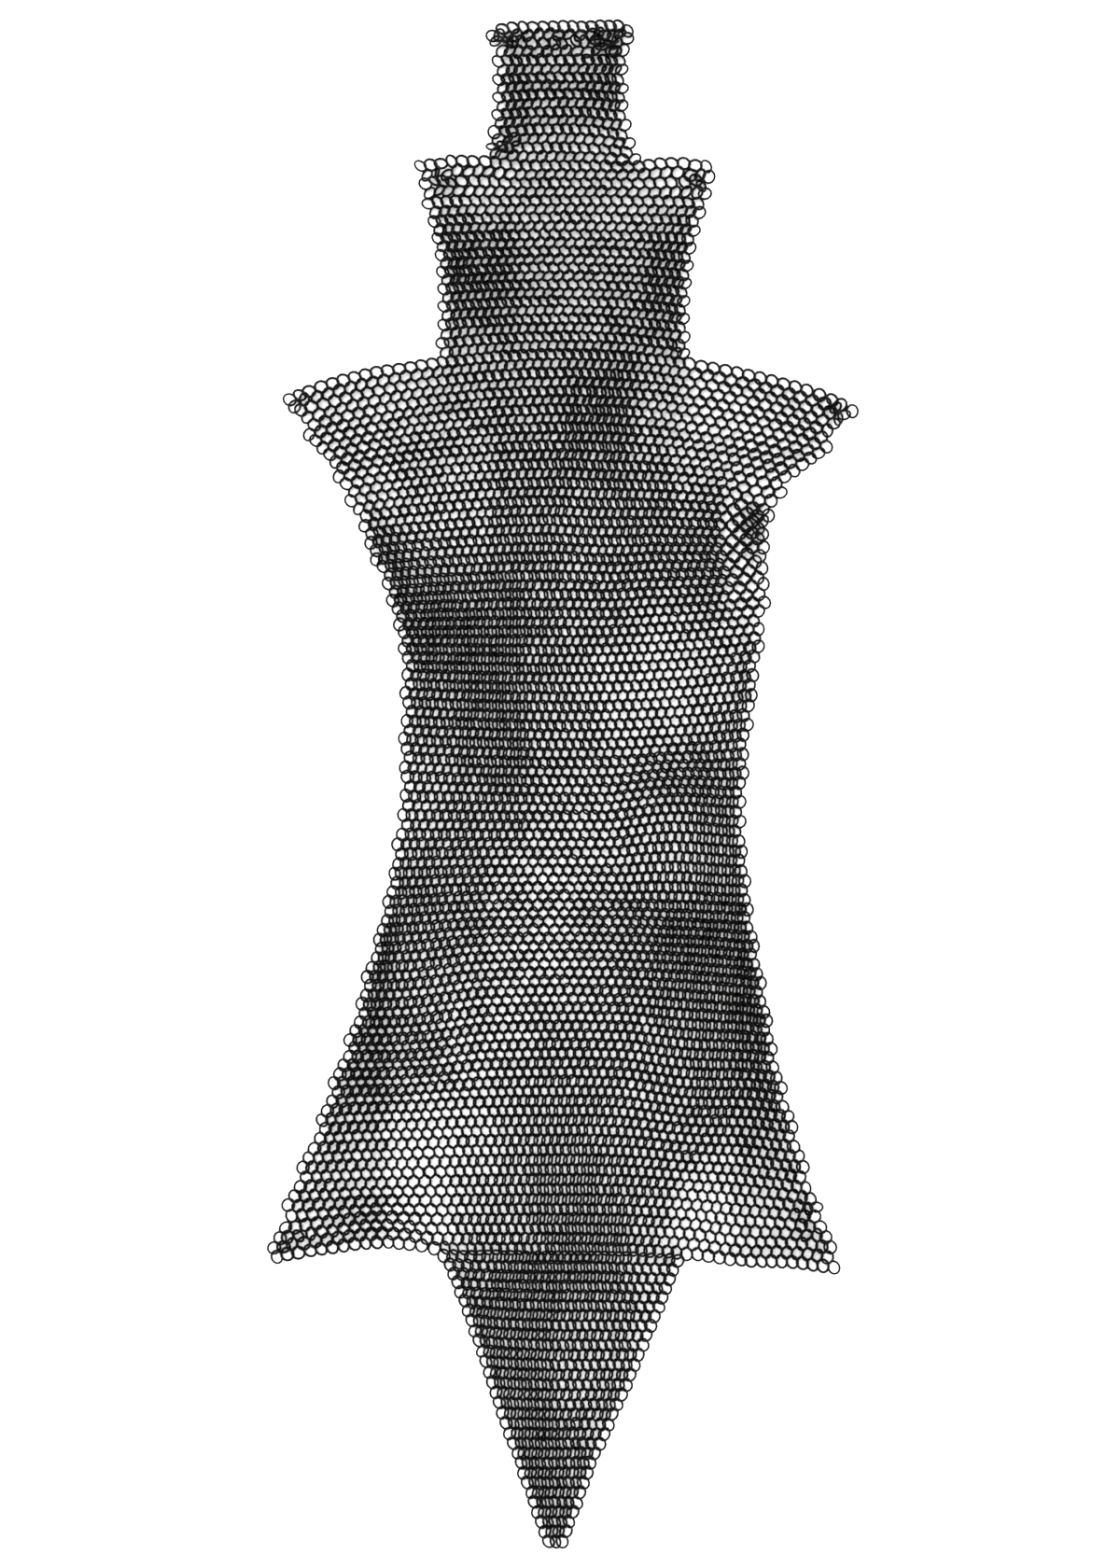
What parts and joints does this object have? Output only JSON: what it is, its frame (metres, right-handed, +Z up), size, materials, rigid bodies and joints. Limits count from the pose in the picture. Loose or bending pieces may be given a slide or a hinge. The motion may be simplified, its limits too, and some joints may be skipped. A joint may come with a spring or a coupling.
{
  "type": "mail chausse",
  "caption": "Single leg of blackened steel ring mail laid open and flat, with a belt tab, a stepped hip, gored thigh and calf and a pointed foot flap.",
  "frame": {"origin": "on the surface the mail lies on, under the middle of its outer box", "axes": "+Z up from the surface, +Y along the leg towards the belt tab, +X to the right of the laid leg"},
  "size_m": [0.51, 1.3158, 0.009],
  "materials": {
    "blackened_steel_rings": "blackened mild steel wire, satin"
  },
  "bodies": {
    "root": {"belt_tab": "blackened_steel_rings", "hip_panel": "blackened_steel_rings", "thigh_panel": "blackened_steel_rings", "thigh_gore_left": "blackened_steel_rings", "thigh_gore_right": "blackened_steel_rings", "knee_panel": "blackened_steel_rings", "shin_panel": "blackened_steel_rings", "ankle_panel": "blackened_steel_rings", "calf_gore_left": "blackened_steel_rings", "calf_gore_right": "blackened_steel_rings", "foot_flap": "blackened_steel_rings"}
  },
  "joints": []
}
